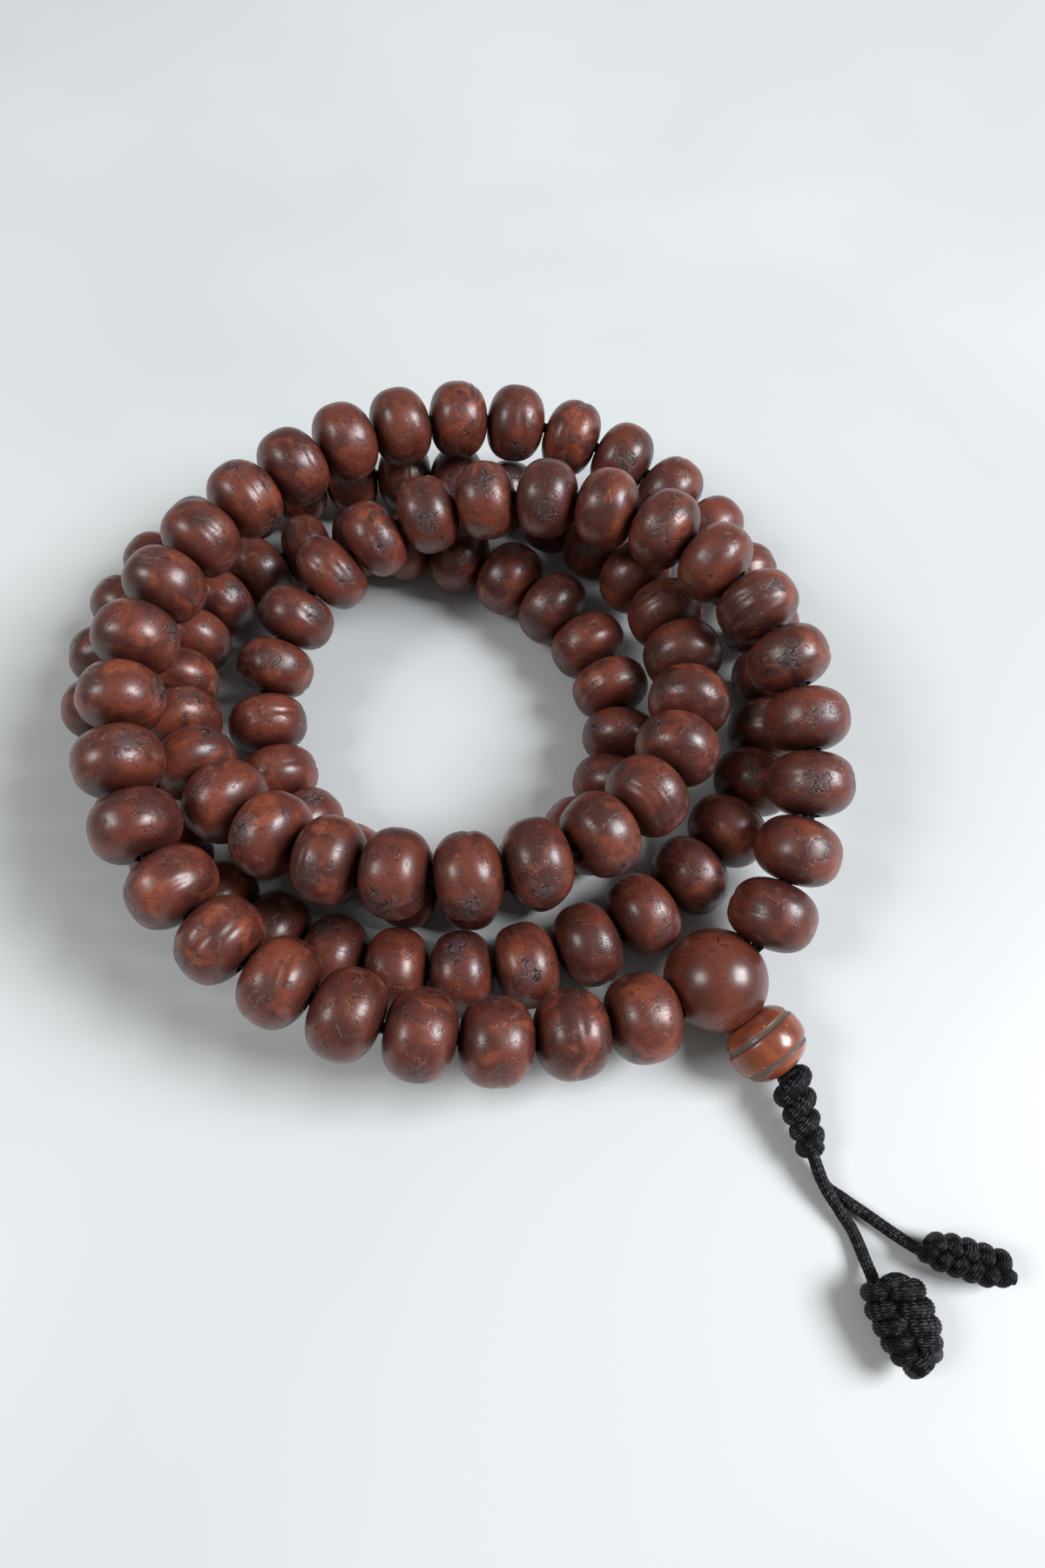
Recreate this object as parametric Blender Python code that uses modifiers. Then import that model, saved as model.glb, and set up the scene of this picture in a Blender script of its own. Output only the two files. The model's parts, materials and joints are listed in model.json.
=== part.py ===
"""A string of 108 prayer beads with its guru bead, stupa bead and knotted cord ends.

The string lies on a table in two and a half loose turns, one partly on top of the other.
Metres, +Z up. The origin is on the table, in the middle of the string's outline.
"""
import math

import bmesh
import bpy
import numpy as np
from mathutils import Vector

# Beads: turned barrels on a cord, made and moved in pairs.
BEAD_RADIUS = 0.0053
BEAD_SIZES = (                    # last pair of each run along the string, bead half length
    (10, 0.00395), (34, 0.00378), (42, 0.00342), (45, 0.00370), (48, 0.00355), (54, 0.00380),
)
GAP_IN_PAIR = 0.00015             # between the two beads of a pair, round their neck
BARREL = ((1.0, 0.30), (0.75, 0.765), (0.30, 0.985))   # half outline: part of length, part of radius
BARREL_POWER = 2.5                # the barrel lies inside the superellipse of this power
BORE_RADIUS = 0.0012
NECK_RADIUS = 0.0016              # where the two beads of a pair meet
BEAD_STEPS = 10

# Guru bead: the large three-hole bead where both cord ends leave the loop.
GURU_RADIUS = 0.0062
GURU_SEGMENTS = 20
GURU_RINGS = 12
SIDE_BORE_RADIUS = 0.0013
EXIT_BORE_RADIUS = 0.0019
POCKET_RADIUS = 0.0024
DRILL_LENGTH = 1.5 * GURU_RADIUS
BEND_START = 0.0021               # where a strand starts to turn inside the pocket
BEND_END = 0.0024                 # where it has turned into the exit bore
BEND_CORNER = 0.6                 # how far towards its side of the exit bore the turn swings
BEND_POINTS = 5

# Stupa bead: the smaller banded bead between the guru bead and the knot.
STUPA_RADIUS = 0.0047
STUPA_HALF_LENGTH = 0.0039
STUPA_STEPS = 16
BAND_DEPTH = 0.0002

# Cord and knots.
CORD_RADIUS = 0.0007
STRAND_OFFSET = 0.0008            # half the distance between two strands side by side
IN_BORE = 0.0003                  # the cord bends this far inside the mouth of a bore
SNAKE_KNOT_RADIUS = 0.00215
SNAKE_KNOT_LOBES = 5
SNAKE_KNOT_STEPS = 12
SNAKE_TOP, SNAKE_WAIST, SNAKE_FOOT = 0.55, 0.80, 0.70   # its narrow places, parts of its radius
END_KNOT_ROWS = 5
END_KNOT_TIP, END_KNOT_WAIST = 0.60, 0.86               # the same for the end knots

# Gaps.
GAP = 0.0003                      # between pieces that touch
BEAD_GAP = 0.00025                # between beads of different turns
NEXT_BEAD_GAP = 0.00020           # between neighbouring pairs on the cord
LONGEST_LINK = 0.0094             # between the nearest beads of neighbouring pairs
LONGEST_GURU_LINK = 0.0106

# The middle of each pair of beads along the string, in the order they are strung.
ROUTE = (
    (0.0080, -0.0340, 0.0085), (-0.0080, -0.0350, 0.0105), (-0.0230, -0.0315, 0.0140),
    (-0.0365, -0.0225, 0.0155), (-0.0445, -0.0095, 0.0175), (-0.0460, 0.0060, 0.0190),
    (-0.0425, 0.0220, 0.0190), (-0.0330, 0.0350, 0.0180), (-0.0210, 0.0460, 0.0170),
    (-0.0050, 0.0495, 0.0155), (0.0100, 0.0470, 0.0125), (0.0235, 0.0380, 0.0095),
    (0.0320, 0.0250, 0.0065), (0.0340, 0.0090, 0.0055), (0.0280, -0.0060, 0.0055),
    (0.0185, -0.0195, 0.0055), (0.0050, -0.0255, 0.0055), (-0.0110, -0.0275, 0.0055),
    (-0.0260, -0.0235, 0.0055), (-0.0400, -0.0150, 0.0055), (-0.0520, -0.0035, 0.0055),
    (-0.0565, 0.0120, 0.0065), (-0.0530, 0.0275, 0.0070), (-0.0435, 0.0395, 0.0055),
    (-0.0290, 0.0465, 0.0055), (-0.0140, 0.0480, 0.0055), (0.0010, 0.0425, 0.0055),
    (0.0125, 0.0310, 0.0065), (0.0190, 0.0175, 0.0100), (0.0200, 0.0025, 0.0140),
    (0.0125, -0.0115, 0.0160), (-0.0020, -0.0185, 0.0160), (-0.0190, -0.0175, 0.0170),
    (-0.0320, -0.0105, 0.0165), (-0.0410, 0.0020, 0.0120), (-0.0460, 0.0150, 0.0070),
    (-0.0405, 0.0275, 0.0065), (-0.0285, 0.0365, 0.0055), (-0.0135, 0.0325, 0.0055),
    (0.0010, 0.0265, 0.0055), (0.0115, 0.0155, 0.0055), (0.0120, 0.0010, 0.0055),
    (0.0050, -0.0130, 0.0055), (-0.0105, -0.0170, 0.0055), (-0.0255, -0.0110, 0.0055),
    (-0.0340, 0.0025, 0.0055), (-0.0320, 0.0170, 0.0080), (-0.0230, 0.0265, 0.0135),
    (-0.0090, 0.0325, 0.0165), (0.0070, 0.0320, 0.0175), (0.0220, 0.0255, 0.0180),
    (0.0310, 0.0125, 0.0175), (0.0340, -0.0025, 0.0145), (0.0310, -0.0175, 0.0100),
)
GURU_CENTRE = (0.0230, -0.0285, 0.0063)
TAIL_DIRECTION = (0.610, -0.779, -0.147)   # from the guru bead through the stupa bead

# The snake knot's lower end, and the routes of the two tails to the far ends of their knots.
SNAKE_KNOT_END = (0.0335, -0.0479, 0.0023)
FORK = (0.0346, -0.0511, 0.0010)
RIGHT_TAIL = ((0.0391, -0.0541, 0.0008), (0.0423, -0.0564, 0.0010), (0.0442, -0.0577, 0.0018))
RIGHT_KNOT = ((0.0455, -0.0582, 0.0027), (0.0540, -0.0607, 0.0027))
RIGHT_KNOT_RADIUS = 0.0026
FRONT_TAIL = ((0.0374, -0.0560, 0.0008), (0.0383, -0.0590, 0.0012), (0.0386, -0.0608, 0.0021))
FRONT_KNOT = ((0.0385, -0.0624, 0.0031), (0.0416, -0.0700, 0.0031))
FRONT_KNOT_RADIUS = 0.0030

FRAME_ORIGIN = (-0.01082, 0.00337, 0.0)   # the frame's origin in the coordinates above

LAYOUT_ROUNDS = 2000
ROUTE_PULL = 0.08
STEP_DAMPING = 0.7
ALIGNMENT = 0.015                 # how strongly neighbouring pairs line up their bores

WOOD = ("bead_wood", (0.16, 0.035, 0.020), 0.35)
STUPA_WOOD = ("stupa_wood", (0.30, 0.075, 0.030), 0.30)
CORD_BLACK = ("cord_black", (0.012, 0.012, 0.014), 0.75)


def clear_scene():
    for obj in list(bpy.data.objects):
        bpy.data.objects.remove(obj, do_unlink=True)


def make_collection(name):
    collection = bpy.data.collections.new(name)
    bpy.context.scene.collection.children.link(collection)
    return collection


def make_material(name, colour, roughness):
    material = bpy.data.materials.new(name)
    material.use_nodes = True
    shader = material.node_tree.nodes["Principled BSDF"]
    shader.inputs["Base Color"].default_value = (*colour, 1.0)
    shader.inputs["Roughness"].default_value = roughness
    shader.inputs["Metallic"].default_value = 0.0
    return material


def unit(vectors):
    return vectors / np.linalg.norm(vectors, axis=-1, keepdims=True)


# ---- where each bead lies -------------------------------------------------------------------

def half_lengths():
    """Half the length of each pair's beads, along the string."""
    lengths = []
    for last_pair, half_length in BEAD_SIZES:
        lengths += [half_length] * (last_pair - len(lengths))
    return np.array(lengths)


def half_spacing(half_length):
    return half_length + GAP_IN_PAIR / 2


def half_pair(half_length):
    """From a pair's middle to its end faces."""
    return half_spacing(half_length) + half_length


def beads_of(middles, guru):
    """The bead centres and axes: a pair lies along the line between its two neighbours."""
    line = np.vstack([guru, middles, guru])
    along = unit(line[2:] - line[:-2])
    offset = along * half_spacing(half_lengths())[:, None]
    centres = np.empty((2 * len(middles) + 1, 3))
    centres[0:-1:2] = middles - offset
    centres[1:-1:2] = middles + offset
    centres[-1] = guru
    axes = np.vstack([np.repeat(along, 2, axis=0), unit(middles[0] - middles[-1])])
    return centres, axes, along


def reach(cosine, radius, half_length):
    """How far a barrel reaches from its centre in a direction at this cosine to its axis."""
    cosine = np.clip(np.abs(cosine), 0.0, 1.0)
    sine = np.sqrt(1.0 - cosine * cosine)
    power = BARREL_POWER / (BARREL_POWER - 1.0)
    return ((radius * sine) ** power + (half_length * cosine) ** power) ** (1.0 / power)


def lay_string():
    """Moves the pairs from the drawn route just far enough for all beads to clear each other."""
    route, guru = np.array(ROUTE), np.array(GURU_CENTRE)
    middles = route.copy()
    pairs = len(route)
    last = 2 * pairs              # the guru bead; after it come the waists of the pairs
    radius = np.full(last + 1 + pairs, BEAD_RADIUS)
    radius[last] = GURU_RADIUS
    half_length = np.concatenate([np.repeat(half_lengths(), 2), [GURU_RADIUS], half_lengths()])
    owner = np.concatenate([np.repeat(np.arange(pairs), 2), [pairs], np.arange(pairs)])
    to_mouth = half_pair(half_lengths())[:, None]
    first, second = np.triu_indices(len(owner), 1)
    apart = owner[first] != owner[second]
    first, second = first[apart], second[apart]
    next_on_cord = (second - first == 1) & (second < last)
    next_to_guru = (second == last) & ((first == 0) | (first == last - 1))
    longest = np.where(next_on_cord, LONGEST_LINK, np.inf)
    longest[next_to_guru] = LONGEST_GURU_LINK
    gap = np.where(next_on_cord, NEXT_BEAD_GAP, BEAD_GAP)
    for turn in range(LAYOUT_ROUNDS):
        middles += ROUTE_PULL * (1.0 - turn / LAYOUT_ROUNDS) * (route - middles)
        centres, axes, along = beads_of(middles, guru)
        centres, axes = np.vstack([centres, middles]), np.vstack([axes, along])
        link = (middles - along * to_mouth)[1:] - (middles + along * to_mouth)[:-1]
        line = unit(along[1:] + along[:-1])
        aside = link - (link * line).sum(1, keepdims=True) * line
        middles[:-1] += ALIGNMENT * aside
        middles[1:] -= ALIGNMENT * aside
        between = centres[second] - centres[first]
        distance = np.linalg.norm(between, axis=1)
        towards = between / distance[:, None]
        needed = (
            reach((towards * axes[first]).sum(1), radius[first], half_length[first])
            + reach((towards * axes[second]).sum(1), radius[second], half_length[second])
            + gap
        )
        push = np.maximum(0.0, needed - distance) + np.minimum(0.0, longest - distance)
        step = towards * (push / 2)[:, None]
        moves = np.zeros_like(centres)
        np.add.at(moves, first, -step)
        np.add.at(moves, second, step)
        middles += STEP_DAMPING * (moves[0:last:2] + moves[1:last:2] + moves[last + 1:])
        sunk = np.maximum(0.0, reach(axes[:, 2], radius, half_length) - centres[:, 2])
        middles[:, 2] += sunk[:last].reshape(-1, 2).max(axis=1)
    return middles, beads_of(middles, guru)[2]


# ---- shapes ---------------------------------------------------------------------------------

def add_object(name, data, collection, parent, material=None):
    obj = bpy.data.objects.new(name, data)
    collection.objects.link(obj)
    obj.parent = parent
    if material is not None and not data.materials:
        data.materials.append(material)
    return obj


def profile_mesh(name, points, closed):
    """A profile in the XZ plane, at +X, for a Screw modifier."""
    mesh = bpy.data.meshes.new(name)
    vertices = [(x, 0.0, z) for x, z in points]
    edges = [(i, i + 1) for i in range(len(points) - 1)]
    if closed:
        edges.append((len(points) - 1, 0))
    mesh.from_pydata(vertices, edges, [])
    return mesh


def turn_profile(obj, steps):
    screw = obj.modifiers.new("turned", "SCREW")
    screw.axis = "Z"
    screw.angle = math.tau
    screw.steps = screw.render_steps = steps
    screw.use_merge_vertices = True
    screw.merge_threshold = 0.00001
    screw.use_smooth_shade = True


def place_along(obj, centre, direction):
    obj.location = centre
    obj.rotation_mode = "QUATERNION"
    obj.rotation_quaternion = Vector(direction).to_track_quat("Z", "Y")


def pair_profile(half_length):
    """Two barrels end to end with a neck between them, and the bore through both."""
    half = [(BEAD_RADIUS * r, half_length * z) for z, r in BARREL]
    outline = half + [(x, -z) for x, z in reversed(half)]
    upper = [(x, z + half_spacing(half_length)) for x, z in outline[:-1]]
    lower = [(x, z - half_spacing(half_length)) for x, z in outline[1:]]
    end = half_pair(half_length)
    return upper + [(NECK_RADIUS, 0.0)] + lower + [(BORE_RADIUS, -end), (BORE_RADIUS, end)]


def make_pairs(middles, along, collection, parent, material):
    meshes = {
        size: profile_mesh("bead_pair_profile", pair_profile(size), closed=True)
        for _, size in BEAD_SIZES
    }
    for number, (middle, direction, size) in enumerate(zip(middles, along, half_lengths()), 1):
        pair = add_object(f"bead_pair_{number:02d}", meshes[size], collection, parent, material)
        place_along(pair, middle, direction)
        turn_profile(pair, BEAD_STEPS)


def make_cutter(name, mesh_builder, collection, parent):
    mesh = bpy.data.meshes.new(name)
    builder = bmesh.new()
    mesh_builder(builder)
    builder.to_mesh(mesh)
    builder.free()
    cutter = add_object(name, mesh, collection, parent)
    cutter.hide_render = True
    cutter.display_type = "WIRE"
    return cutter


def bore_cutter(name, radius, direction, collection, parent):
    """A drill from the guru bead's middle outwards along this direction."""
    def build(builder):
        bmesh.ops.create_cone(builder, cap_ends=True, segments=12, radius1=radius,
                              radius2=radius, depth=DRILL_LENGTH)

    cutter = make_cutter(name, build, collection, parent)
    place_along(cutter, Vector(GURU_CENTRE) + Vector(direction) * DRILL_LENGTH / 2, direction)
    return cutter


def make_guru(directions, collection, cutters, parent, material):
    mesh = bpy.data.meshes.new("guru_bead")
    builder = bmesh.new()
    bmesh.ops.create_uvsphere(builder, u_segments=GURU_SEGMENTS, v_segments=GURU_RINGS,
                              radius=GURU_RADIUS)
    builder.to_mesh(mesh)
    builder.free()
    mesh.shade_smooth()
    guru = add_object("guru_bead", mesh, collection, parent, material)
    guru.location = GURU_CENTRE

    def pocket(builder):
        bmesh.ops.create_icosphere(builder, subdivisions=2, radius=POCKET_RADIUS)

    drills = [make_cutter("guru_pocket", pocket, cutters, parent)]
    drills[0].location = GURU_CENTRE
    for name, (radius, direction) in directions.items():
        drills.append(bore_cutter(name, radius, direction, cutters, parent))
    for drill in drills:
        cut = guru.modifiers.new(drill.name, "BOOLEAN")
        cut.operation = "DIFFERENCE"
        cut.solver = "EXACT"
        cut.object = drill


def make_stupa(collection, parent, material):
    """The banded bead: a rounded drum with two shallow carved bands round it."""
    radius, half = STUPA_RADIUS, STUPA_HALF_LENGTH
    cut = radius - BAND_DEPTH
    outline = [
        (0.58 * radius, half), (0.84 * radius, 0.80 * half), (0.96 * radius, 0.50 * half),
        (0.96 * cut, 0.48 * half), (0.99 * cut, 0.32 * half), (0.99 * radius, 0.30 * half),
        (radius, -0.10 * half), (0.97 * radius, -0.40 * half), (0.96 * cut, -0.42 * half),
        (0.93 * cut, -0.56 * half), (0.92 * radius, -0.58 * half), (0.82 * radius, -0.82 * half),
        (0.58 * radius, -half), (EXIT_BORE_RADIUS, -half), (EXIT_BORE_RADIUS, half),
    ]
    mesh = profile_mesh("stupa_profile", outline, closed=True)
    stupa = add_object("stupa_bead", mesh, collection, parent, material)
    direction = Vector(TAIL_DIRECTION).normalized()
    middle = Vector(GURU_CENTRE) + direction * (GURU_RADIUS + GAP + half)
    place_along(stupa, middle, -direction)
    turn_profile(stupa, STUPA_STEPS)


def make_tube(name, points, radii, collection, parent, material):
    """A cord through these points; a radius is given at each as a part of the cord's."""
    curve = bpy.data.curves.new(name, "CURVE")
    curve.dimensions = "3D"
    curve.bevel_depth = CORD_RADIUS
    curve.bevel_resolution = 2
    curve.use_fill_caps = True
    spline = curve.splines.new("POLY")
    spline.points.add(len(points) - 1)
    for place, point, radius in zip(spline.points, points, radii):
        place.co = (*point, 1.0)
        place.radius = radius
    add_object(name, curve, collection, parent, material)


def smooth_line(points, spacing):
    """Points about this far apart on the smooth curve through the route's own points."""
    route = [Vector(point) for point in points]
    route = [2 * route[0] - route[1], *route, 2 * route[-1] - route[-2]]
    line = []
    for before, start, end, after in zip(route, route[1:], route[2:], route[3:]):
        count = max(1, round((end - start).length / spacing))
        for step in range(count):
            t = step / count
            line.append(0.5 * (
                2 * start + (end - before) * t
                + (2 * before - 5 * start + 4 * end - after) * t ** 2
                + (3 * start - before - 3 * end + after) * t ** 3
            ))
    return line + [route[-2]]


# ---- the cord through the beads -------------------------------------------------------------

def bend_inside_guru(side_direction, strand_shift):
    """The turn inside the guru bead, from a side bore into the exit bore."""
    guru, out = Vector(GURU_CENTRE), Vector(TAIL_DIRECTION).normalized()
    start = guru + side_direction * BEND_START
    corner = guru + strand_shift * BEND_CORNER
    end = guru + out * BEND_END + strand_shift
    return [
        start * (1 - t) ** 2 + corner * 2 * t * (1 - t) + end * t ** 2
        for t in (step / (BEND_POINTS - 1) for step in range(BEND_POINTS))
    ]


def loop_points(middles, along, sides, strand_shift):
    """One cord: out of the exit bore, round all the pairs, and back to the exit bore."""
    guru, out = Vector(GURU_CENTRE), Vector(TAIL_DIRECTION).normalized()
    tail_end = GURU_RADIUS + 2 * STUPA_HALF_LENGTH + 2 * GAP
    side_entry = GURU_RADIUS - IN_BORE
    points = [guru + out * tail_end + strand_shift]
    points += reversed(bend_inside_guru(sides[0], strand_shift))
    points.append(guru + sides[0] * side_entry)
    for middle, direction, size in zip(middles, along, half_lengths()):
        inside = direction * (half_pair(size) - IN_BORE)
        points += [Vector(middle - inside), Vector(middle + inside)]
    points.append(guru + sides[1] * side_entry)
    points += bend_inside_guru(sides[1], -strand_shift)
    points.append(guru + out * tail_end - strand_shift)
    return points


# ---- knots and tails ------------------------------------------------------------------------

def snake_knot_ends():
    out = Vector(TAIL_DIRECTION).normalized()
    stupa_end = GURU_RADIUS + GAP + 2 * STUPA_HALF_LENGTH
    top = Vector(GURU_CENTRE) + out * (stupa_end + 3 * GAP)
    return top, Vector(SNAKE_KNOT_END)


def make_snake_knot(collection, parent, material):
    """The knot below the stupa bead: a row of lobes pulled tight round the two strands."""
    top, bottom = snake_knot_ends()
    length = (bottom - top).length
    pitch = length / SNAKE_KNOT_LOBES
    outline = [(0.0, length / 2), (SNAKE_TOP * SNAKE_KNOT_RADIUS, length / 2)]
    for lobe in range(SNAKE_KNOT_LOBES):
        height = length / 2 - (lobe + 0.5) * pitch
        outline.append((SNAKE_KNOT_RADIUS, height))
        if lobe < SNAKE_KNOT_LOBES - 1:
            outline.append((SNAKE_WAIST * SNAKE_KNOT_RADIUS, height - pitch / 2))
    outline += [(SNAKE_FOOT * SNAKE_KNOT_RADIUS, -length / 2), (0.0, -length / 2)]
    mesh = profile_mesh("snake_knot_profile", outline, closed=False)
    knot = add_object("snake_knot", mesh, collection, parent, material)
    place_along(knot, (top + bottom) / 2, top - bottom)
    turn_profile(knot, SNAKE_KNOT_STEPS)


def make_tail(name, route, knot_axis, knot_radius, strand_shift, collection, parent, material):
    """One free end of the cord, with the knot of five rows that ends it."""
    top, bottom = snake_knot_ends()
    start = bottom + (bottom - top).normalized() * 2 * GAP + strand_shift
    fork = Vector(FORK) + strand_shift
    line = smooth_line([start, fork, *route], 3 * CORD_RADIUS)
    radii = [1.0] * len(line)
    knot_start, knot_end = Vector(knot_axis[0]), Vector(knot_axis[1])
    full = knot_radius / CORD_RADIUS
    stations = 2 * END_KNOT_ROWS
    for station in range(stations + 1):
        line.append(knot_start.lerp(knot_end, station / stations))
        radii.append(full * (END_KNOT_WAIST if station % 2 == 0 else 1.0))
    radii[-1] = radii[-stations - 1] = END_KNOT_TIP * full
    make_tube(name, line, radii, collection, parent, material)


def main():
    clear_scene()
    parts = make_collection("mala_prayer_beads")
    cutters = make_collection("cutters")
    frame = bpy.data.objects.new("frame_origin", None)
    parts.objects.link(frame)
    frame.location = -Vector(FRAME_ORIGIN)

    wood = make_material(*WOOD)
    stupa_wood = make_material(*STUPA_WOOD)
    cord_black = make_material(*CORD_BLACK)

    middles, along = lay_string()
    make_pairs(middles, along, parts, frame, wood)

    guru, out = Vector(GURU_CENTRE), Vector(TAIL_DIRECTION).normalized()
    ends = half_pair(half_lengths())
    sides = (
        (Vector(middles[0] - along[0] * ends[0]) - guru).normalized(),
        (Vector(middles[-1] + along[-1] * ends[-1]) - guru).normalized(),
    )
    make_guru(
        {
            "left_bore": (SIDE_BORE_RADIUS, sides[0]),
            "right_bore": (SIDE_BORE_RADIUS, sides[1]),
            "exit_bore": (EXIT_BORE_RADIUS, out),
        },
        parts, cutters, frame, wood,
    )
    make_stupa(parts, frame, stupa_wood)

    strand_shift = out.cross(Vector((0.0, 0.0, 1.0))).normalized() * STRAND_OFFSET
    loop = loop_points(middles, along, sides, strand_shift)
    make_tube("cord", loop, [1.0] * len(loop), parts, frame, cord_black)
    make_snake_knot(parts, frame, cord_black)
    make_tail("tail_front", FRONT_TAIL, FRONT_KNOT, FRONT_KNOT_RADIUS, strand_shift,
              parts, frame, cord_black)
    make_tail("tail_right", RIGHT_TAIL, RIGHT_KNOT, RIGHT_KNOT_RADIUS, -strand_shift,
              parts, frame, cord_black)


main()
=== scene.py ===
import json
import math

import bpy
import numpy as np
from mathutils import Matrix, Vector


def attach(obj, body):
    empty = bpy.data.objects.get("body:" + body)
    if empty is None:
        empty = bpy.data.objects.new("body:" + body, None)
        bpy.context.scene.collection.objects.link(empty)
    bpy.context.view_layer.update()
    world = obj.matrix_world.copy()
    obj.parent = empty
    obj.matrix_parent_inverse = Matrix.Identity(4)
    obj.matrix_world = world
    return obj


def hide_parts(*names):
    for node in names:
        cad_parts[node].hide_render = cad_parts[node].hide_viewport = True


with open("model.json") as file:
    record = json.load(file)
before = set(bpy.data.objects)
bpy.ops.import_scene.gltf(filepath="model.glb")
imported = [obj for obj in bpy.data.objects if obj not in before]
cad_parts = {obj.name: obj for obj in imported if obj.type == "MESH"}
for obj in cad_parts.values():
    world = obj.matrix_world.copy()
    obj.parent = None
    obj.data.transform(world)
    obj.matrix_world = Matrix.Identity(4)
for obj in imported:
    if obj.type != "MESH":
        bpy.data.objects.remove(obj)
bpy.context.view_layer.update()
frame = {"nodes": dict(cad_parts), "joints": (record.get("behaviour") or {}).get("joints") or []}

rng = np.random.default_rng(108)

# ---- sizes, in metres ---------------------------------------------------------------------------

MM = 0.001
UP = np.array([0.0, 0.0, 1.0])
ROUTE_TO_FRAME = np.array([0.01082, -0.00337, 0.0])   # the CAD's own routes to this frame

BEAD_RADIUS = 5.3 * MM
GAP_IN_PAIR = 0.15 * MM
BORE_RADIUS = 1.15 * MM
BARREL_POWER = 2.45                # how square a bead's outline is; 2 is an ellipse
BEAD_ROW = 0.27 * MM               # the height of a bead's rows of faces
BEAD_SIDES = 60
BEAD_CLEARANCE = 0.035 * MM        # what each bead leaves free of the room to its neighbour
LONGEST_HALF_BEAD = 4.3 * MM
FURROW_DEPTH = 0.20 * MM
CORD_RADIUS = 0.68 * MM
STRAND_OFFSET = 0.8 * MM           # of each of the two strands from the stupa bead's axis
GURU_RADIUS = 6.2 * MM
STUPA_RADIUS = 4.7 * MM
STUPA_HALF_LENGTH = 3.9 * MM
SEAT_DEPTH = 1.2 * MM              # how far the guru bead sits down into the stupa bead
CAD_GAP = 0.3 * MM                 # between the guru bead and the stupa bead in the CAD
STUPA_CENTRE = GURU_RADIUS + CAD_GAP + STUPA_HALF_LENGTH - SEAT_DEPTH
STUPA_END = STUPA_CENTRE + STUPA_HALF_LENGTH       # both from the guru bead's centre
STUPA_BORE = 1.75 * MM
STUPA_BANDS = ((0.40, 0.075), (-0.49, 0.065))      # middle and width, in half lengths
BAND_DEPTH = 0.20 * MM
HOLE_DEPTH = 2.2 * MM              # of the holes that are drilled into the guru bead
HOLE_EDGE = 0.30 * MM
FLOOR_GAP = 0.05 * MM              # nothing comes closer to the floor
FLOOR_HALF_WIDTH = 1.5
TILT = math.radians(4.0)           # the most a bead leans from its pair's axis to its neighbours
KNOT_SPACING = 0.11 * MM           # of the points along a lobe of a knot
LOBE_POINTS = 60
LOBE_DIVE = 0.7 * MM               # how far the beginning of a lobe dips into its knot
FRONT_SHIFT = 1.5 * MM             # of the front knot's middle from its axis, and of the right knot's
RIGHT_SHIFT = 0.45 * MM

GURU_CENTRE = np.array([0.0230, -0.0285, 0.0063]) + ROUTE_TO_FRAME
TAIL_DIRECTION = np.array([0.610, -0.779, -0.147])
TAIL_DIRECTION /= np.linalg.norm(TAIL_DIRECTION)
STRAND_SHIFT = np.cross(TAIL_DIRECTION, UP)
STRAND_SHIFT *= STRAND_OFFSET / np.linalg.norm(STRAND_SHIFT)

# The tails leave the stupa bead side by side, and the front one lies on top as far as the fork.
FRONT_TAIL = ((0.0332, -0.0479, 0.0030), (0.0344, -0.0511, 0.0021), (0.0360, -0.0537, 0.0014),
              (0.0374, -0.0560, 0.0009), (0.0383, -0.0590, 0.0012), (0.0386, -0.0608, 0.0021))
FRONT_KNOT = ((0.0385, -0.0624, 0.0031), (0.0416, -0.0700, 0.0031))
RIGHT_TAIL = ((0.0336, -0.0477, 0.0018), (0.0347, -0.0508, 0.0008), (0.0368, -0.0525, 0.0008),
              (0.0391, -0.0541, 0.0008), (0.0423, -0.0564, 0.0010), (0.0442, -0.0577, 0.0018))
RIGHT_KNOT = ((0.0455, -0.0582, 0.0027), (0.0540, -0.0607, 0.0027))
SNAKE_KNOT_END = (0.0335, -0.0479, 0.0023)


# ---- camera -------------------------------------------------------------------------------------

camera_data = bpy.data.cameras.new("camera")
camera_data.lens = 24.0
camera_data.sensor_width = 36.0
camera_data.clip_start = 0.01
camera_data.dof.use_dof = False
camera = bpy.data.objects.new("camera", camera_data)
camera.location = (0.01082, -0.06180, 0.12942)
camera.rotation_euler = (math.radians(24.3), 0.0, 0.0)
bpy.context.scene.collection.objects.link(camera)
bpy.context.scene.camera = camera


# ---- materials ----------------------------------------------------------------------------------

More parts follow.
